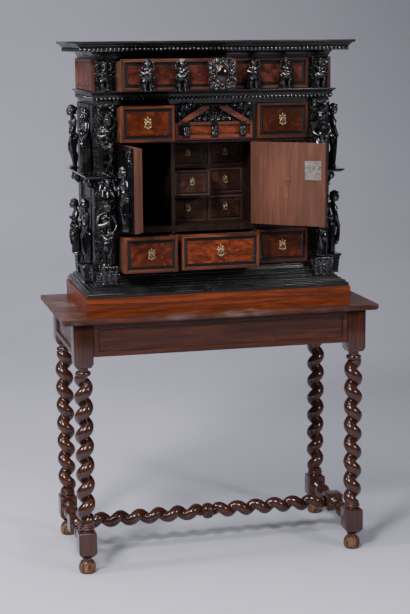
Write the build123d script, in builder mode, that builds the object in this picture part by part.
from build123d import *
import math
import os

"""Carved walnut and ebonised cabinet with drawers and doors, standing on a barley-twist table.

Millimetres, +Z up, the front faces -Y. The origin lies on the floor, under the middle of the object
with its doors open as it stands.
"""

# ---- driving dimensions: the table ----
TABLE_WIDTH = 966
TABLE_DEPTH = 465
TABLE_HEIGHT = 780
TABLE_TOP = 17
TABLE_EDGE = 5
TABLE_MIDDLE_Y = 26
LEG_INSET_X = 63.5
LEG_INSET_Y = 48.5
KNEE_BLOCK = 56
KNEE_BLOCK_HEIGHT = 123
FOOT_BLOCK = 50
FOOT_BLOCK_HEIGHT = 72
FOOT_BLOCK_BASE = 60
FOOT_HEIGHT = 42
FOOT_RADIUS = 27
FOOT_NECK_RADIUS = 15
COLLAR_HEIGHT = 38
COLLAR_RADIUS = 27
COLLAR_NECK_RADIUS = 17
APRON_HEIGHT = 100
APRON_THICK = 20
APRON_MOULDING = 6
APRON_FRAME = 18
TURNED_SIDES = 16
TWIST_PITCH = 62
TWIST_RADIUS = 20.5
TWIST_THROW = 8
TWIST_SIDES = 12
TWIST_STEPS = 6
RAIL_TWIST_PITCH = 60
RAIL_TWIST_RADIUS = 17.5
RAIL_TWIST_THROW = 7
RAIL_HEIGHT = 96
RAIL_BLOCK = 52
KNOP_LENGTH = 46
KNOP_RADIUS = 27
BALUSTER_RADIUS = 21
BALUSTER_NECK = 12
BALUSTER_SWELL = 18.9
KNOP_SHOULDER = 20.25
APRON_DRAFT = 20

# ---- driving dimensions: the cabinet ----
BODY_WIDTH = 708
BODY_FRONT_Y = -86
BACK_Y = 216
BOARD = 18
BACK_BOARD = 10
PLINTH_SIDE = 51
PLINTH_FRONT = 79
PLINTH_HEIGHT = 54
PLINTH_BOARD = 30
BASE_HEIGHT = 66
FLOOR_RISE = 3
LOWER_ROW = 107
SHELF = 18
DOOR_ROW = 246
DUST_BOARD = 7
UPPER_ROW = 107
MIDDLE_CORNICE = 40
FRIEZE_ROW = 93
BED_HEIGHT = 22
TOP_CORNICE = 28
COVER_BOARD = 12
STILE = 61
STILE_THICK = 20
BAY_DIVIDER = 11
MIDDLE_BAY = 240
NEST_DEPTH = 92
NEST_BOARD = 6
FRIEZE_DIVIDER = 3
FRIEZE_SPLIT_X = 47.5

# ---- driving dimensions: drawers, doors and fittings ----
RUN_GAP = 0.3
SIDE_GAP = 0.8
TOP_GAP = 1.2
FRONT_THICK = 14
FRONT_FRAME = 10
FRONT_BAND = 9
FRONT_PROUD = 7
FRONT_FIELD = 3
BOX_SIDE = 8
BOX_BOTTOM = 6
BOX_RAISE = 2
BOX_DROP = 6
SMALL_FRONT_THICK = 10
SMALL_FRAME = 6
SMALL_BAND = 5
SMALL_PROUD = 2
SMALL_FIELD = 1
DRAWER_BACK_GAP = 12
DOOR_THICK = 16
DOOR_GAP = 0.8
DOOR_FRAME = 16
DOOR_PROUD = 4
HINGE_RADIUS = 2.2
HINGE_LENGTH = 34
HINGE_INSET = 40
LOCK_WIDTH = 52
LOCK_HEIGHT = 56
LOCK_THICK = 1.5
LOCK_EDGE = 12
LOCK_DROP = 52
PULL_RADIUS = 12
PULL_THICK = 3
PULL_ROD = 3.5
PULL_GAP = 0.9
PULL_LIFT = 6
PULL_SIDES = 12
PLATE_RADIUS = 12
PLATE_THICK = 1.5
EYE_REACH = 7
EYE_WIDTH = 3
SMALL_PULL_RADIUS = 8
SMALL_PULL_ROD = 2.5
SMALL_PLATE_RADIUS = 8
FRONT_DRAFT = 12

# ---- how far the pieces stand open ----
TOP_LEFT_OUT = 60
LOWER_LEFT_OUT = 84
LOWER_MIDDLE_OUT = 70
FRIEZE_LEFT_OUT = 88
NEST_OUT = 56
LEFT_DOOR_OPEN = 85
MIDDLE_DOOR_OPEN = 140

# ---- driving dimensions: the carving ----
FIGURE_SIDES = 8
FIGURE_DEPTH = 0.72
LIMB_SIDES = 5
LIMB_RADIUS = 0.2
LIMB_TAPER = 0.8
PILASTER = 50
PILASTER_THICK = 8
PILASTER_SHIFT = 3
TIER_LEDGE_RISE = 278
LEDGE_THICK = 9
LEDGE_REACH = 46
CORBEL_HEIGHT = 36
CORBEL_REACH = 30
CORBEL_FOOT = 12
CORBEL_WIDTH = 35
CORBEL_LIP = 0.25
CONSOLE_RISE = 22
CONSOLE_REACH = 50
BACK_CONSOLE_REACH = 28
UPPER_FIGURE = 196
LOWER_FIGURE = 194
LOWER_BACK_FIGURE = 172
FIGURE_WIDTH = 23
FIGURE_SUNK = 0.86
SIDE_FIGURE_FRONT = 30
SIDE_FIGURE_BACK = 56
CORNER_FIGURE = 88
CORNER_FIGURE_WIDTH = 14.08
FRIEZE_FIGURE = 84
FRIEZE_FIGURE_WIDTH = 14.28
FRIEZE_FIGURE_SUNK = 5
CARTOUCHE_WIDTH = 88
CARTOUCHE_HEIGHT = 94
CARTOUCHE_THICK = 14
CARTOUCHE_RAISE = 0.5
CARTOUCHE_SIDES = 16
CARTOUCHE_SURROUND = 8.4
CARTOUCHE_BACK = (52.8, 74.4)
CARTOUCHE_OVAL = (0.84, 0.9)
CARTOUCHE_LOBE = 0.34
CARTOUCHE_LOBES = (0.64, 0.62)
BOSS_FOOT = (0.6, 0.7)
BOSS_TOP = (0.42, 0.52)
FRIEZE_FIGURES_X = (219, 119)
FRIEZE_FIGURE_RAISE = 5
PEDIMENT_EDGE = 8
PEDIMENT_RAKE = 18
PEDIMENT_PROUD = 12
PEDIMENT_BRACKET = 20
PEDIMENT_STRIP_PROUD = 9.6
PEDIMENT_CROWN = (0.14, 0.33)
PEDIMENT_CROWN_DROP = 0.4
PEDIMENT_TOE = 1.5
PEDIMENT_BRACKETS = (-0.72, 0, 0.72)
DOOR_ARCH = 8
DOOR_FIGURE_SUNK = 6
DOOR_FIGURE_HEIGHT = 0.62
DOOR_ARCH_PROUD = 2.4
DOOR_CORE = 4
PANEL_THICK = 5
PANEL_DRAFT = 15
PANEL_FRAME = 12

# ---- mouldings round the body: (share of the height, side reach, front reach) ----
BASE_STAGES = (
    (0, 47, 75),
    (0.18, 44, 71),
    (0.18, 36, 62),
    (0.3, 30, 52),
    (0.3, 25, 46),
    (0.44, 20, 35),
    (0.44, 15, 29),
    (0.64, 11, 19),
    (0.64, 9, 14),
    (1, 8, 9),
)
CORNICE_STAGES = (
    (0, 1, 1),
    (0.35, 3, 4),
    (0.5, 9, 11),
    (0.68, 10, 12),
    (0.82, 13, 17),
    (0.92, 18.5, 23.5),
    (1, 18.5, 23.5),
)
BED_STAGES = ((0, 2, 2), (0.5, 5, 5), (1, 14, 14))
TOP_STAGES = ((0, 46, 42), (0.25, 47, 44), (0.46, 52, 50), (0.61, 57, 56), (0.75, 61, 60), (1, 65, 64))

# ---- turned work: (share of the length, radius) ----
COLLAR_STAGES = (
    (0, COLLAR_NECK_RADIUS),
    (0.4, COLLAR_NECK_RADIUS),
    (0.55, COLLAR_RADIUS),
    (0.85, COLLAR_RADIUS),
    (1, TWIST_RADIUS),
)
BALUSTER_STAGES = (
    (0, BALUSTER_NECK),
    (0.12, BALUSTER_RADIUS),
    (0.24, BALUSTER_RADIUS),
    (0.32, BALUSTER_NECK),
    (0.6, BALUSTER_SWELL),
    (0.78, BALUSTER_NECK),
    (0.86, BALUSTER_RADIUS),
    (1, BALUSTER_RADIUS),
)
KNOP_STAGES = (
    (-1, RAIL_TWIST_RADIUS),
    (-0.7, KNOP_SHOULDER),
    (-0.3, KNOP_RADIUS),
    (0.3, KNOP_RADIUS),
    (0.7, KNOP_SHOULDER),
    (1, RAIL_TWIST_RADIUS),
)

# ---- the turned foot: (share of its height, share of its radius) ----
FOOT_STAGES = ((0, 0.5), (0.12, 0.85), (0.4, 1), (0.62, 1), (0.9, 0.8))

# ---- a standing figure: (share of the height, share of its half width, sideways sway) ----
FIGURE_SECTIONS = (
    (0, 0.62, 0),
    (0.05, 0.5, 0),
    (0.25, 0.52, 0.05),
    (0.45, 0.72, 0.12),
    (0.6, 0.54, 0.02),
    (0.72, 0.74, -0.04),
    (0.8, 0.84, -0.04),
    (0.85, 0.24, 0),
    (0.89, 0.42, 0.02),
    (0.95, 0.44, 0.02),
    (1, 0.24, 0.02),
)
NEAR_ARM = ((0.72, 0, 0.78), (0.98, -0.1, 0.63), (0.35, -0.62, 0.6))
FAR_ARM = ((-0.72, 0, 0.78), (-0.98, 0, 0.62), (-0.78, -0.3, 0.46))

# ---- places that follow from the sizes ----
HALF_BODY = BODY_WIDTH / 2
LEG_SPAN_X = TABLE_WIDTH - 2 * LEG_INSET_X
LEG_SPAN_Y = TABLE_DEPTH - 2 * LEG_INSET_Y
KNEE_BASE = TABLE_HEIGHT - TABLE_TOP - KNEE_BLOCK_HEIGHT
FOOT_BLOCK_TOP = FOOT_BLOCK_BASE + FOOT_BLOCK_HEIGHT
PLINTH_TOP = TABLE_HEIGHT + PLINTH_HEIGHT
BASE_TOP = PLINTH_TOP + BASE_HEIGHT
FLOOR_Z = BASE_TOP + FLOOR_RISE
CONSOLE_TOP_Z = BASE_TOP + CONSOLE_RISE
TIER_LEDGE_Z = BASE_TOP + TIER_LEDGE_RISE
SHELF_Z = FLOOR_Z + LOWER_ROW
DOOR_Z = SHELF_Z + SHELF
DUST_Z = DOOR_Z + DOOR_ROW
UPPER_Z = DUST_Z + DUST_BOARD
CORNICE_Z = UPPER_Z + UPPER_ROW
FRIEZE_Z = CORNICE_Z + MIDDLE_CORNICE
BED_Z = FRIEZE_Z + FRIEZE_ROW
TOP_CORNICE_Z = BED_Z + BED_HEIGHT
TOP_Z = TOP_CORNICE_Z + TOP_CORNICE
OPENING = HALF_BODY - STILE
BAY_EDGE = MIDDLE_BAY / 2
SIDE_BAY_EDGE = BAY_EDGE + BAY_DIVIDER
INNER_BACK_Y = BACK_Y - BACK_BOARD
NEST_FRONT_Y = BODY_FRONT_Y + NEST_DEPTH
NEST_ROW = (DOOR_ROW - 2 * NEST_BOARD) / 3
NEST_INNER = BAY_EDGE - NEST_BOARD
STILE_BACK_Y = BODY_FRONT_Y + STILE_THICK
DRAWER_BACK_Y = INNER_BACK_Y - DRAWER_BACK_GAP
HINGE_Y = BODY_FRONT_Y - HINGE_RADIUS - RUN_GAP
LARGE_FRONT = (FRONT_THICK, FRONT_FRAME, FRONT_BAND, FRONT_PROUD, FRONT_FIELD)
SMALL_FRONT = (SMALL_FRONT_THICK, SMALL_FRAME, SMALL_BAND, SMALL_PROUD, SMALL_FIELD)
LARGE_PULL = (PLATE_RADIUS, PULL_RADIUS, PULL_ROD)
SMALL_PULL = (SMALL_PLATE_RADIUS, SMALL_PULL_RADIUS, SMALL_PULL_ROD)

parts = []


def keep(name, *solids):
    """Note a finished piece, or a group of like pieces, under its node name."""
    made = solids[0] if len(solids) == 1 else Compound(children=list(solids))
    made.label = name
    parts.append(made)


def board(x0, x1, y0, y1, z0, z1):
    """A plain board between two corners."""
    with BuildPart() as made:
        with Locations(((x0 + x1) / 2, (y0 + y1) / 2, (z0 + z1) / 2)):
            Box(x1 - x0, y1 - y0, z1 - z0)
    return made.part


def both_sides(piece):
    """A piece and its mirror image on the other side of the middle."""
    return [piece, piece.mirror(Plane.YZ)]


def turned(profile, base=0):
    """A turned piece about Z from (height, radius) points, in flats fine enough to read as round."""
    with BuildPart() as made:
        for height, radius in profile:
            with BuildSketch(Plane.XY.offset(base + height)):
                RegularPolygon(radius, TURNED_SIDES)
        loft(ruled=True)
    return made.part


def barley_twist(length, pitch, radius, throw, hand):
    """A round strand thrown off the axis, which turns about Z as it climbs."""
    steps = round(length / pitch * TWIST_STEPS)
    with BuildPart() as made:
        for step in range(steps + 1):
            share = step / steps
            with BuildSketch(Plane.XY.offset(length * share)):
                with PolarLocations(throw, 1, start_angle=hand * 360 * length / pitch * share):
                    RegularPolygon(radius, TWIST_SIDES)
        loft(ruled=True)
    return made.part


def oval(half_width, half_height, sides, shift=0):
    """Corners of a many-sided oval."""
    turns = [math.tau * (side + 0.5) / sides for side in range(sides)]
    return [(shift + half_width * math.cos(turn), half_height * math.sin(turn)) for turn in turns]


def oval_loft(sections, depth):
    """A carved body lofted up through many-sided ovals, given as (height, half width, shift)."""
    with BuildPart() as made:
        for height, half, shift in sections:
            with BuildSketch(Plane.XY.offset(height)):
                Polygon(*oval(half, half * depth, FIGURE_SIDES, shift), align=None)
        loft(ruled=True)
    return made.part


def limb(joints, radius):
    """An arm: a tapering bar through its joints, given as (x, y, z)."""
    with BuildPart() as made:
        for start, end in zip(joints, joints[1:]):
            along = Vector(*end) - Vector(*start)
            with BuildSketch(Plane(origin=start, z_dir=along)):
                RegularPolygon(radius, LIMB_SIDES)
            with BuildSketch(Plane(origin=end, z_dir=along)):
                RegularPolygon(radius * LIMB_TAPER, LIMB_SIDES)
            loft(ruled=True)
    return made.part


def figure(height, half, lean=1):
    """A standing carved figure, feet to crown, facing -Y, its weight on one leg."""
    scaled = [(height * up, half * wide, half * sway * lean) for up, wide, sway in FIGURE_SECTIONS]
    with BuildPart() as made:
        add(oval_loft(scaled, FIGURE_DEPTH))
        for arm in (NEAR_ARM, FAR_ARM):
            add(limb([(half * x * lean, half * y, height * z) for x, y, z in arm], half * LIMB_RADIUS))
    return made.part.solids().sort_by(SortBy.VOLUME)[-1]


def moulded_ring(base_z, height, stages):
    """Mitred mouldings round the front and both sides of the body, as three lengths.

    Each stage is (share of the height, side reach, front reach), the reach taken from the body's faces.
    """
    raised = [(base_z + height * share, side, front) for share, side, front in stages]
    with BuildPart() as made:
        for lower, upper in zip(raised, raised[1:]):
            if upper[0] > lower[0]:
                for z, side, front in (lower, upper):
                    with BuildSketch(Plane.XY.offset(z)):
                        with Locations((0, (BODY_FRONT_Y - front + BACK_Y) / 2)):
                            Rectangle(BODY_WIDTH + 2 * side, BACK_Y - BODY_FRONT_Y + front)
                loft(ruled=True)
        with Locations((0, (BODY_FRONT_Y + BACK_Y) / 2, base_z + height / 2)):
            Box(BODY_WIDTH, BACK_Y - BODY_FRONT_Y, height, mode=Mode.SUBTRACT)
    _, side, front = max(raised, key=lambda stage: stage[1])
    right_cut = Plane(origin=(HALF_BODY, BODY_FRONT_Y, 0), z_dir=Vector(-front, -side, 0))
    left_cut = Plane(origin=(-HALF_BODY, BODY_FRONT_Y, 0), z_dir=Vector(front, -side, 0))
    right = split(made.part, bisect_by=right_cut, keep=Keep.BOTTOM)
    rest = split(made.part, bisect_by=right_cut, keep=Keep.TOP)
    front_length = split(rest, bisect_by=left_cut, keep=Keep.TOP)
    left = split(rest, bisect_by=left_cut, keep=Keep.BOTTOM)
    return [front_length, left, right]


# ---- the table ----


def table_top():
    with BuildPart() as top:
        with Locations((0, TABLE_MIDDLE_Y, TABLE_HEIGHT - TABLE_TOP / 2)):
            Box(TABLE_WIDTH, TABLE_DEPTH, TABLE_TOP)
        chamfer(top.edges().filter_by(Axis.Z), length=TABLE_EDGE)
        chamfer(top.faces().sort_by(Axis.Z)[0].edges(), length=TABLE_EDGE)
    return top.part


def apron(length):
    """An apron board with a raised frame on its outer face, centred on its middle, facing -Y."""
    with BuildPart() as made:
        Box(length, APRON_THICK, APRON_HEIGHT)
        outer = made.faces().sort_by(Axis.Y)[0]
        with BuildSketch(Plane(outer.center(), x_dir=(1, 0, 0), z_dir=(0, -1, 0))):
            Rectangle(length, APRON_HEIGHT)
            Rectangle(length - 2 * APRON_FRAME, APRON_HEIGHT - 2 * APRON_FRAME, mode=Mode.SUBTRACT)
        extrude(amount=APRON_MOULDING, taper=APRON_DRAFT)
    return made.part


def leg(hand):
    """A leg on its own axis: knee block, collar, barley twist, collar, foot block and ball foot."""
    collar = [(COLLAR_HEIGHT * share, radius) for share, radius in COLLAR_STAGES]
    upper_collar = turned([(-height, radius) for height, radius in collar], KNEE_BASE)
    lower_collar = turned(collar, FOOT_BLOCK_TOP)
    ball = [(FOOT_HEIGHT * rise, FOOT_RADIUS * share) for rise, share in FOOT_STAGES]
    neck = [(FOOT_HEIGHT, FOOT_NECK_RADIUS), (FOOT_BLOCK_BASE, FOOT_NECK_RADIUS)]
    foot = turned(ball + neck)
    twist_base = FOOT_BLOCK_TOP + COLLAR_HEIGHT
    twist_length = KNEE_BASE - COLLAR_HEIGHT - twist_base
    twist = barley_twist(twist_length, TWIST_PITCH, TWIST_RADIUS, TWIST_THROW, hand)
    with BuildPart() as made:
        with Locations((0, 0, KNEE_BASE + KNEE_BLOCK_HEIGHT / 2)):
            Box(KNEE_BLOCK, KNEE_BLOCK, KNEE_BLOCK_HEIGHT)
        with Locations((0, 0, FOOT_BLOCK_BASE + FOOT_BLOCK_HEIGHT / 2)):
            Box(FOOT_BLOCK, FOOT_BLOCK, FOOT_BLOCK_HEIGHT)
        add(twist.moved(Location((0, 0, twist_base))))
        add([upper_collar, lower_collar, foot])
    return made.part


def side_stretcher():
    """A side stretcher along Y, centred: a square middle block between two turned balusters."""
    reach = (LEG_SPAN_Y - FOOT_BLOCK) / 2
    half_block = RAIL_BLOCK / 2
    span = reach - half_block
    baluster = turned([(span * share, radius) for share, radius in BALUSTER_STAGES])
    outward = baluster.rotate(Axis.X, -90).moved(Location((0, half_block, 0)))
    with BuildPart() as made:
        Box(RAIL_BLOCK, RAIL_BLOCK, RAIL_BLOCK)
        add([outward, outward.mirror(Plane.XZ)])
    return made.part


def long_stretcher():
    """The long stretcher along X, centred: two opposite twists that meet at a turned knop."""
    reach = (LEG_SPAN_X - RAIL_BLOCK) / 2
    half_knop = KNOP_LENGTH / 2
    knop = turned([(half_knop * share, radius) for share, radius in KNOP_STAGES])
    run = barley_twist(reach - half_knop, RAIL_TWIST_PITCH, RAIL_TWIST_RADIUS, RAIL_TWIST_THROW, 1)
    half = run.moved(Location((0, 0, half_knop)))
    with BuildPart() as made:
        add([knop, half, half.mirror(Plane.XY)])
    return made.part.rotate(Axis.Y, 90)


def build_table():
    keep("table_top", table_top())
    apron_z = TABLE_HEIGHT - TABLE_TOP - APRON_HEIGHT / 2
    apron_reach = (KNEE_BLOCK - APRON_THICK) / 2 - APRON_MOULDING
    long_apron, short_apron = apron(LEG_SPAN_X - KNEE_BLOCK), apron(LEG_SPAN_Y - KNEE_BLOCK)
    front = long_apron.moved(Location((0, -LEG_SPAN_Y / 2 - apron_reach, apron_z)))
    right = short_apron.rotate(Axis.Z, 90).moved(Location((LEG_SPAN_X / 2 + apron_reach, 0, apron_z)))
    stand = Location((0, TABLE_MIDDLE_Y, 0))
    keep("apron_front", front.moved(stand))
    keep("apron_back", front.mirror(Plane.XZ).moved(stand))
    keep("apron_right", right.moved(stand))
    keep("apron_left", right.mirror(Plane.YZ).moved(stand))
    rising = leg(1)
    falling = rising.mirror(Plane.YZ)
    for name, made, x, y in (
        ("leg_front_left", rising, -1, -1),
        ("leg_front_right", falling, 1, -1),
        ("leg_back_left", falling, -1, 1),
        ("leg_back_right", rising, 1, 1),
    ):
        keep(name, made.moved(Location((x * LEG_SPAN_X / 2, TABLE_MIDDLE_Y + y * LEG_SPAN_Y / 2, 0))))
    side = side_stretcher()
    for name, x in (("stretcher_left", -1), ("stretcher_right", 1)):
        keep(name, side.moved(Location((x * LEG_SPAN_X / 2, TABLE_MIDDLE_Y, RAIL_HEIGHT))))
    keep("stretcher_long", long_stretcher().moved(Location((0, TABLE_MIDDLE_Y, RAIL_HEIGHT))))


# ---- the case ----


def shelf(z0, z1, front_z0=None):
    """A shelf let in between the side boards, with its front edge between the stiles."""
    back_part = board(-HALF_BODY + BOARD, HALF_BODY - BOARD, STILE_BACK_Y, INNER_BACK_Y, z0, z1)
    lowest = z0 if front_z0 is None else front_z0
    return back_part + board(-OPENING, OPENING, BODY_FRONT_Y, STILE_BACK_Y, lowest, z1)


def build_plinth():
    half, front = HALF_BODY + PLINTH_SIDE, BODY_FRONT_Y - PLINTH_FRONT
    inner, inner_front = half - PLINTH_BOARD, front + PLINTH_BOARD
    keep(
        "plinth",
        board(-half, half, front, inner_front, TABLE_HEIGHT, PLINTH_TOP),
        board(-half, -inner, inner_front, BACK_Y, TABLE_HEIGHT, PLINTH_TOP),
        board(inner, half, inner_front, BACK_Y, TABLE_HEIGHT, PLINTH_TOP),
        board(-inner, inner, BACK_Y - PLINTH_BOARD, BACK_Y, TABLE_HEIGHT, PLINTH_TOP),
    )


def build_mouldings():
    for name, base_z, height, stages in (
        ("base_moulding", PLINTH_TOP, BASE_HEIGHT, BASE_STAGES),
        ("middle_cornice", CORNICE_Z, MIDDLE_CORNICE, CORNICE_STAGES),
        ("bed_moulding", BED_Z, BED_HEIGHT, BED_STAGES),
    ):
        keep(name, *moulded_ring(base_z, height, stages))
    cover = board(-HALF_BODY, HALF_BODY, BODY_FRONT_Y, BACK_Y, TOP_Z - COVER_BOARD, TOP_Z)
    keep("top_cornice", *moulded_ring(TOP_CORNICE_Z, TOP_CORNICE, TOP_STAGES), cover)


def build_case():
    inner = HALF_BODY - BOARD
    side = board(inner, HALF_BODY, STILE_BACK_Y, INNER_BACK_Y, PLINTH_TOP, TOP_Z - COVER_BOARD)
    keep("side_right", side)
    keep("side_left", side.mirror(Plane.YZ))
    keep("back_board", board(-HALF_BODY, HALF_BODY, INNER_BACK_Y, BACK_Y, PLINTH_TOP, TOP_Z - COVER_BOARD))
    keep("floor_board", shelf(FLOOR_Z - BOARD, FLOOR_Z, PLINTH_TOP))
    top_rail = board(-OPENING, OPENING, BODY_FRONT_Y, STILE_BACK_Y, BED_Z, TOP_Z - COVER_BOARD)
    keep(
        "shelves",
        shelf(SHELF_Z, DOOR_Z),
        shelf(DUST_Z, UPPER_Z),
        shelf(FRIEZE_Z - SHELF, FRIEZE_Z, CORNICE_Z),
        top_rail,
    )
    rows = ((FLOOR_Z, SHELF_Z), (DOOR_Z, DUST_Z), (UPPER_Z, CORNICE_Z))
    dividers = [
        divider
        for low, high in rows
        for divider in both_sides(board(BAY_EDGE, SIDE_BAY_EDGE, BODY_FRONT_Y, INNER_BACK_Y, low, high))
    ]
    half = FRIEZE_DIVIDER / 2
    split_x = (FRIEZE_SPLIT_X - half, FRIEZE_SPLIT_X + half)
    dividers.append(board(*split_x, BODY_FRONT_Y, INNER_BACK_Y, FRIEZE_Z, BED_Z))
    keep("bay_dividers", *dividers)


def build_nest():
    """Six pigeon holes for the small drawers, set back behind the middle door."""
    half = NEST_BOARD / 2
    solids = both_sides(board(NEST_INNER, BAY_EDGE, NEST_FRONT_Y, INNER_BACK_Y, DOOR_Z, DUST_Z))
    solids.append(board(-half, half, NEST_FRONT_Y, INNER_BACK_Y, DOOR_Z, DUST_Z))
    for row in (1, 2):
        z = DOOR_Z + row * (NEST_ROW + NEST_BOARD)
        solids += both_sides(board(half, NEST_INNER, NEST_FRONT_Y, INNER_BACK_Y, z - NEST_BOARD, z))
    keep("nest_case", *solids)


def framed_panel(width, height, thick=PANEL_THICK, frame=PANEL_FRAME, proud=PANEL_THICK):
    """A panel with a raised bevelled frame, its back on the XZ plane, facing -Y, centred."""
    with BuildPart() as made:
        with BuildSketch(Plane.XZ):
            Rectangle(width, height)
        extrude(amount=thick)
        with BuildSketch(Plane.XZ.offset(thick)):
            Rectangle(width, height)
            Rectangle(width - 2 * frame, height - 2 * frame, mode=Mode.SUBTRACT)
        extrude(amount=proud, taper=PANEL_DRAFT)
    return made.part


TIERS = (
    (CONSOLE_TOP_Z, TIER_LEDGE_Z, LOWER_FIGURE, LOWER_BACK_FIGURE, -1),
    (TIER_LEDGE_Z + LEDGE_THICK, CORNICE_Z, UPPER_FIGURE, UPPER_FIGURE, 1),
)
SIDE_STACKS_Y = (BODY_FRONT_Y + SIDE_FIGURE_FRONT, INNER_BACK_Y - SIDE_FIGURE_BACK + PILASTER / 2)
PILASTER_X = HALF_BODY - STILE / 2 + PILASTER_SHIFT
FIGURE_REACH = FIGURE_WIDTH * FIGURE_SUNK * FIGURE_DEPTH * math.cos(math.pi / FIGURE_SIDES)


def build_corner_stacks():
    """Stiles, pilasters, ledges, masks and consoles that carry the figures at the corners."""
    stile = board(OPENING, HALF_BODY, BODY_FRONT_Y, STILE_BACK_Y, PLINTH_TOP, TOP_Z - COVER_BOARD)
    half = PILASTER / 2
    fronts, sides = both_sides(stile), []
    for low, high, *_ in TIERS:
        face_y = BODY_FRONT_Y - PILASTER_THICK
        fronts += both_sides(board(PILASTER_X - half, PILASTER_X + half, face_y, BODY_FRONT_Y, low, high))
        for y in SIDE_STACKS_Y:
            face_x = HALF_BODY + PILASTER_THICK
            sides += both_sides(board(HALF_BODY, face_x, y - half, y + half, low, high))
        gap_low, gap_high = SIDE_STACKS_Y[0] + half, SIDE_STACKS_Y[1] - half
        panel = framed_panel(gap_high - gap_low, high - low).rotate(Axis.Z, 90)
        middle = Location((HALF_BODY, (gap_low + gap_high) / 2, (low + high) / 2))
        sides += both_sides(panel.moved(middle))
    keep("front_stiles", *fronts)
    keep("side_panels", *sides)
    depth = INNER_BACK_Y - BODY_FRONT_Y
    frieze = framed_panel(depth, FRIEZE_ROW).rotate(Axis.Z, 90)
    middle = Location((HALF_BODY, BODY_FRONT_Y + depth / 2, FRIEZE_Z + FRIEZE_ROW / 2))
    keep("frieze_side_panels", *both_sides(frieze.moved(middle)))


def corbel(top_z, height, reach, width):
    """A bracket with a sloping underside, its back on the XZ plane, facing -Y."""
    with BuildPart() as made:
        with BuildSketch(Plane.YZ):
            with BuildLine():
                Polyline(
                    (0, top_z),
                    (-reach, top_z),
                    (-reach, top_z - height * CORBEL_LIP),
                    (-CORBEL_FOOT, top_z - height),
                    (0, top_z - height),
                    close=True,
                )
            make_face()
        extrude(amount=width / 2, both=True)
    return made.part


def build_ledges():
    half = PILASTER / 2
    outer, front = HALF_BODY + LEDGE_REACH, BODY_FRONT_Y - LEDGE_REACH
    with BuildPart() as ledge:
        with BuildSketch(Plane.XY.offset(TIER_LEDGE_Z)):
            with BuildLine():
                Polyline(
                    (PILASTER_X - half, BODY_FRONT_Y),
                    (PILASTER_X - half, front),
                    (outer, front),
                    (outer, INNER_BACK_Y),
                    (HALF_BODY, INNER_BACK_Y),
                    (HALF_BODY, BODY_FRONT_Y),
                    close=True,
                )
            make_face()
        extrude(amount=LEDGE_THICK)
    mask = corbel(TIER_LEDGE_Z, CORBEL_HEIGHT, CORBEL_REACH, CORBEL_WIDTH)
    console = corbel(CONSOLE_TOP_Z, CONSOLE_RISE, CONSOLE_REACH, PILASTER)
    pilaster_face = Location((PILASTER_X, BODY_FRONT_Y - PILASTER_THICK, 0))
    solids = [ledge.part, mask.moved(pilaster_face), console.moved(Location((PILASTER_X, BODY_FRONT_Y, 0)))]
    slim = corbel(CONSOLE_TOP_Z, CONSOLE_RISE, BACK_CONSOLE_REACH, PILASTER)
    for y, foot in zip(SIDE_STACKS_Y, (console, slim)):
        solids.append(mask.rotate(Axis.Z, 90).moved(Location((HALF_BODY + PILASTER_THICK, y, 0))))
        solids.append(foot.rotate(Axis.Z, 90).moved(Location((HALF_BODY, y, 0))))
    keep("figure_ledges", *[made for solid in solids for made in both_sides(solid)])


def build_figures():
    reach = PILASTER_THICK + FIGURE_REACH
    fronts, sides = [], []
    for low, _, height, back_height, lean in TIERS:
        standing = figure(height, FIGURE_WIDTH, lean)
        fronts += both_sides(standing.moved(Location((PILASTER_X, BODY_FRONT_Y - reach, low))))
        behind = figure(back_height, FIGURE_WIDTH, lean)
        for y, made in zip(SIDE_STACKS_Y, (standing, behind)):
            turned_out = made.rotate(Axis.Z, 90).moved(Location((HALF_BODY + reach, y, low)))
            sides += both_sides(turned_out)
    keep("front_figures", *fronts)
    keep("side_figures", *sides)
    child = figure(CORNER_FIGURE, CORNER_FIGURE_WIDTH)
    child_reach = FIGURE_REACH * CORNER_FIGURE_WIDTH / FIGURE_WIDTH
    keep(
        "corner_figures",
        *both_sides(child.moved(Location((PILASTER_X, BODY_FRONT_Y - child_reach, FRIEZE_Z)))),
    )


# ---- drawers ----


def drawer_front(width, height, thick, frame, band, proud, field):
    """A front with a raised frame round a sunk band and a raised field, back face on XZ."""
    with BuildPart() as made:
        with BuildSketch(Plane.XZ):
            Rectangle(width, height)
        extrude(amount=thick)
        with BuildSketch(Plane.XZ.offset(thick)):
            Rectangle(width, height)
            Rectangle(width - 2 * frame, height - 2 * frame, mode=Mode.SUBTRACT)
        extrude(amount=proud, taper=FRONT_DRAFT)
        with BuildSketch(Plane.XZ.offset(thick)):
            Rectangle(width - 2 * (frame + band), height - 2 * (frame + band))
        extrude(amount=field, taper=FRONT_DRAFT)
    return made.part


def pull_plate(radius, post_z):
    """A round back plate with the post that the drop hangs on, its back on XZ, facing -Y."""
    with BuildPart() as made:
        with BuildSketch(Plane.XZ):
            RegularPolygon(radius, PULL_SIDES)
        extrude(amount=PLATE_THICK)
        with BuildSketch(Plane.XZ.offset(PLATE_THICK)):
            with Locations((0, post_z)):
                Rectangle(EYE_WIDTH, EYE_WIDTH)
        extrude(amount=EYE_REACH)
    return made.part


def pull_drop(radius, rod):
    """A ring drop that hangs from its top, where its axis runs along X through the origin."""
    with BuildPart() as made:
        with BuildSketch(Plane.XZ.offset(-PULL_THICK / 2)):
            with Locations((0, rod / 2 - radius)):
                RegularPolygon(radius, PULL_SIDES)
                RegularPolygon(radius - rod, PULL_SIDES, mode=Mode.SUBTRACT)
        extrude(amount=PULL_THICK)
    return made.part


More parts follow.
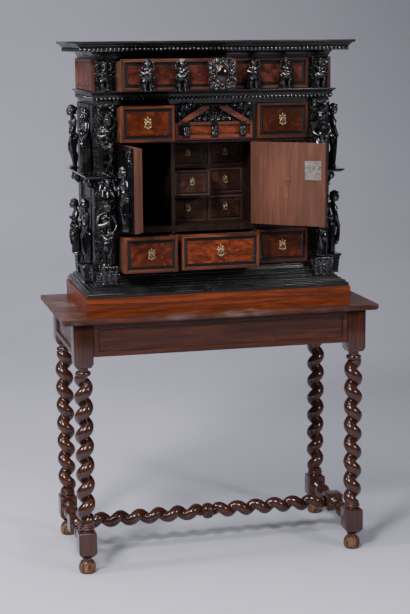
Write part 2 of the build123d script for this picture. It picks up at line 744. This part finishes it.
def drawer(name, opening, front_y, out, carving=(), small=False, pull=True):
    """A drawer in its opening (x0, x1, z0, z1), standing out by so much, with its drop pull."""
    x0, x1, z0, z1 = opening
    left, right, low, high = x0 + SIDE_GAP, x1 - SIDE_GAP, z0 + RUN_GAP, z1 - TOP_GAP
    middle_x, middle_z = (left + right) / 2, (low + high) / 2
    thick, frame, band, proud, field = SMALL_FRONT if small else LARGE_FRONT
    plate_radius, radius, rod = SMALL_PULL if small else LARGE_PULL
    front = drawer_front(right - left, high - low, thick, frame, band, proud, field)
    front = front.moved(Location((middle_x, front_y + thick, middle_z)))
    for carved in carving:
        front = front + carved
    back_of_front, inner_left, inner_right = front_y + thick, left + BOX_SIDE, right - BOX_SIDE
    inner_back, rim, floor_top = DRAWER_BACK_Y - BOX_SIDE, high - BOX_DROP, low + BOX_RAISE + BOX_BOTTOM
    solids = [
        *front.solids(),
        board(left, inner_left, back_of_front, DRAWER_BACK_Y, low, rim),
        board(inner_right, right, back_of_front, DRAWER_BACK_Y, low, rim),
        board(inner_left, inner_right, inner_back, DRAWER_BACK_Y, low, rim),
        board(inner_left, inner_right, back_of_front, inner_back, low + BOX_RAISE, floor_top),
    ]
    drawn = Location((0, -out, 0))
    if pull:
        plate_y, axis_z = front_y - field, middle_z + PULL_LIFT
        plate = pull_plate(plate_radius, -(rod / 2 + PULL_GAP + EYE_WIDTH / 2))
        solids.append(plate.moved(Location((middle_x, plate_y, axis_z))))
        axis_y = plate_y - PLATE_THICK - PULL_GAP - PULL_THICK / 2
        drop = pull_drop(radius, rod).moved(Location((middle_x, axis_y - out, axis_z)))
        keep(name + "_pull", drop)
    keep(name, *[solid.moved(drawn) for solid in solids])


def frieze_figure(x):
    """A small standing figure carved on a frieze drawer, half sunk in the front."""
    made = figure(FRIEZE_FIGURE, FRIEZE_FIGURE_WIDTH, 1 if x > 0 else -1)
    return made.moved(Location((x, BODY_FRONT_Y - FRIEZE_FIGURE_SUNK, FRIEZE_Z + FRIEZE_FIGURE_RAISE)))


def cartouche():
    """An oval boss in a scrolled surround, which stands in front of the frieze."""
    base_y = BODY_FRONT_Y - FRONT_PROUD
    middle_z = FRIEZE_Z + CARTOUCHE_RAISE + CARTOUCHE_HEIGHT / 2
    half, tall = CARTOUCHE_WIDTH / 2, CARTOUCHE_HEIGHT / 2
    plate_x, plate_z = CARTOUCHE_OVAL
    lobe_x, lobe_z = CARTOUCHE_LOBES
    base = Plane((0, base_y, middle_z), x_dir=(1, 0, 0), z_dir=(0, -1, 0))
    with BuildPart() as made:
        with BuildSketch(base):
            Polygon(*oval(half * plate_x, tall * plate_z, CARTOUCHE_SIDES), align=None)
            for across in (-1, 1):
                for up in (-1, 1):
                    with Locations((across * half * lobe_x, up * tall * lobe_z)):
                        RegularPolygon(half * CARTOUCHE_LOBE, FIGURE_SIDES)
        extrude(amount=CARTOUCHE_SURROUND)
        with BuildSketch(base.offset(-FRONT_PROUD)):
            Rectangle(*CARTOUCHE_BACK)
        extrude(amount=FRONT_PROUD)
        for lift, (share_x, share_z) in ((CARTOUCHE_SURROUND, BOSS_FOOT), (CARTOUCHE_THICK, BOSS_TOP)):
            with BuildSketch(base.offset(lift)):
                Polygon(*oval(half * share_x, tall * share_z, CARTOUCHE_SIDES), align=None)
        loft(ruled=True)
    return made.part


def pediment():
    """Raking mouldings over a cornice and three brackets, carved on the pediment drawer."""
    half, middle_z = BAY_EDGE - SIDE_GAP, UPPER_Z + UPPER_ROW / 2
    plane = Plane((0, BODY_FRONT_Y, middle_z), x_dir=(1, 0, 0), z_dir=(0, -1, 0))
    top = UPPER_ROW / 2 - PEDIMENT_EDGE
    crown_in, crown_out = [half * share for share in PEDIMENT_CROWN]
    toe = half - PEDIMENT_EDGE
    strip = PEDIMENT_RAKE / 2
    with BuildPart() as made:
        for side in (-1, 1):
            with BuildSketch(plane):
                Polygon(
                    (side * toe, 0),
                    (side * crown_out, top),
                    (side * crown_in, top),
                    (side * crown_in, top - PEDIMENT_RAKE * PEDIMENT_CROWN_DROP),
                    (side * (toe - PEDIMENT_RAKE * PEDIMENT_TOE), 0),
                    align=None,
                )
            extrude(amount=PEDIMENT_PROUD)
        with BuildSketch(plane):
            with Locations((0, -strip / 2), (0, strip / 4 - top)):
                Rectangle(2 * toe, strip)
        extrude(amount=PEDIMENT_STRIP_PROUD)
        with BuildSketch(plane):
            with Locations(*[(half * share, -top / 2) for share in PEDIMENT_BRACKETS]):
                Rectangle(PEDIMENT_BRACKET, top)
        extrude(amount=PEDIMENT_PROUD)
    return made.part


def build_drawers():
    half = FRIEZE_DIVIDER / 2
    left, right = FRIEZE_SPLIT_X - half, FRIEZE_SPLIT_X + half
    carved = [frieze_figure(-x) for x in FRIEZE_FIGURES_X] + [cartouche()]
    frieze = (-OPENING, left, FRIEZE_Z, BED_Z)
    drawer("frieze_drawer_left", frieze, BODY_FRONT_Y, FRIEZE_LEFT_OUT, carved, pull=False)
    carved = [frieze_figure(x) for x in FRIEZE_FIGURES_X]
    drawer("frieze_drawer_right", (right, OPENING, FRIEZE_Z, BED_Z), BODY_FRONT_Y, 0, carved, pull=False)
    upper, lower = (UPPER_Z, CORNICE_Z), (FLOOR_Z, SHELF_Z)
    bays = {
        "left": (-OPENING, -SIDE_BAY_EDGE),
        "middle": (-BAY_EDGE, BAY_EDGE),
        "right": (SIDE_BAY_EDGE, OPENING),
    }
    drawer("upper_drawer_left", (*bays["left"], *upper), BODY_FRONT_Y, TOP_LEFT_OUT)
    drawer("upper_drawer_right", (*bays["right"], *upper), BODY_FRONT_Y, 0)
    drawer("pediment_drawer", (*bays["middle"], *upper), BODY_FRONT_Y, 0, [pediment()], pull=False)
    drawer("lower_drawer_left", (*bays["left"], *lower), BODY_FRONT_Y, LOWER_LEFT_OUT)
    drawer("lower_drawer_middle", (*bays["middle"], *lower), BODY_FRONT_Y, LOWER_MIDDLE_OUT)
    drawer("lower_drawer_right", (*bays["right"], *lower), BODY_FRONT_Y, 0)
    for row in range(3):
        z = DUST_Z - (row + 1) * NEST_ROW - row * NEST_BOARD
        for column, x0 in enumerate((-NEST_INNER, NEST_BOARD / 2)):
            hole = (x0, x0 + NEST_INNER - NEST_BOARD / 2, z, z + NEST_ROW)
            out = NEST_OUT if (row, column) == (1, 0) else 0
            drawer(f"small_drawer_{'abc'[row]}{column + 1}", hole, NEST_FRONT_Y, out, small=True)


# ---- doors ----


def door_leaf(width, height):
    """A carved door leaf, its front on the XZ plane facing -Y, centred."""
    arch_half = width / 2 - DOOR_FRAME - DOOR_ARCH
    spring = height / 2 - DOOR_FRAME - DOOR_ARCH - arch_half
    foot = -height / 2 + DOOR_FRAME
    half_figure = min(arch_half * DOOR_FIGURE_HEIGHT, FIGURE_WIDTH)
    carved = figure(height * DOOR_FIGURE_HEIGHT, half_figure)
    with BuildPart() as made:
        with BuildSketch(Plane.XZ):
            Rectangle(width, height)
        extrude(amount=-DOOR_THICK)
        with BuildSketch(Plane.XZ):
            Rectangle(width, height)
            Rectangle(width - 2 * DOOR_FRAME, height - 2 * DOOR_FRAME, mode=Mode.SUBTRACT)
        extrude(amount=DOOR_PROUD, taper=PANEL_DRAFT)
        with BuildSketch(Plane.XZ):
            Rectangle(width - 2 * DOOR_FRAME, height - 2 * DOOR_FRAME)
            with Locations((0, (foot + spring) / 2)):
                Rectangle(2 * arch_half, spring - foot, mode=Mode.SUBTRACT)
            with Locations((0, spring)):
                Circle(arch_half, mode=Mode.SUBTRACT)
        extrude(amount=DOOR_ARCH_PROUD)
        add(carved.moved(Location((0, DOOR_FIGURE_SUNK, foot))))
        add(board(-width / 2, width / 2, DOOR_CORE, DOOR_THICK, -height / 2, height / 2))
    return made.part


def hinged(leaf, width, height, side):
    """The leaf with the knuckles of its two hinges at the -X (-1) or +X (1) edge."""
    edge = side * (width / 2 + DOOR_GAP)
    with BuildPart() as made:
        add(leaf)
        for z in (HINGE_INSET - height / 2, height / 2 - HINGE_INSET):
            with Locations((edge, HINGE_Y - BODY_FRONT_Y, z)):
                Cylinder(HINGE_RADIUS, HINGE_LENGTH)
    return made.part


def build_doors():
    height = DOOR_ROW - 2 * DOOR_GAP
    middle_z = DOOR_Z + DOOR_ROW / 2
    side_middle, side_width = (OPENING + SIDE_BAY_EDGE) / 2, OPENING - SIDE_BAY_EDGE
    width = side_width - 2 * DOOR_GAP
    left = hinged(door_leaf(width, height), width, height, -1)
    left_axis = Axis((-OPENING, HINGE_Y, 0), (0, 0, 1))
    closed = left.moved(Location((-side_middle, BODY_FRONT_Y, middle_z)))
    keep("door_left", closed.rotate(left_axis, -LEFT_DOOR_OPEN))
    fixed = door_leaf(side_width, DOOR_ROW)
    keep("panel_right", fixed.moved(Location((side_middle, BODY_FRONT_Y, middle_z))))
    width = MIDDLE_BAY - 2 * DOOR_GAP
    middle_axis = Axis((BAY_EDGE, HINGE_Y, 0), (0, 0, 1))
    closed = hinged(door_leaf(width, height), width, height, 1).moved(Location((0, BODY_FRONT_Y, middle_z)))
    keep("door_middle", closed.rotate(middle_axis, MIDDLE_DOOR_OPEN))
    inner_y = BODY_FRONT_Y + DOOR_THICK
    free_x = -width / 2 + LOCK_EDGE
    lock_top = middle_z + height / 2 - LOCK_DROP
    lock = board(free_x, free_x + LOCK_WIDTH, inner_y, inner_y + LOCK_THICK, lock_top - LOCK_HEIGHT, lock_top)
    keep("door_lock_plate", lock.rotate(middle_axis, MIDDLE_DOOR_OPEN))


def main():
    build_table()
    build_plinth()
    build_mouldings()
    build_case()
    build_nest()
    build_corner_stacks()
    build_ledges()
    build_figures()
    build_drawers()
    build_doors()
    os.makedirs("parts", exist_ok=True)
    for made in parts:
        export_step(made, f"parts/{made.label}.step")


main()
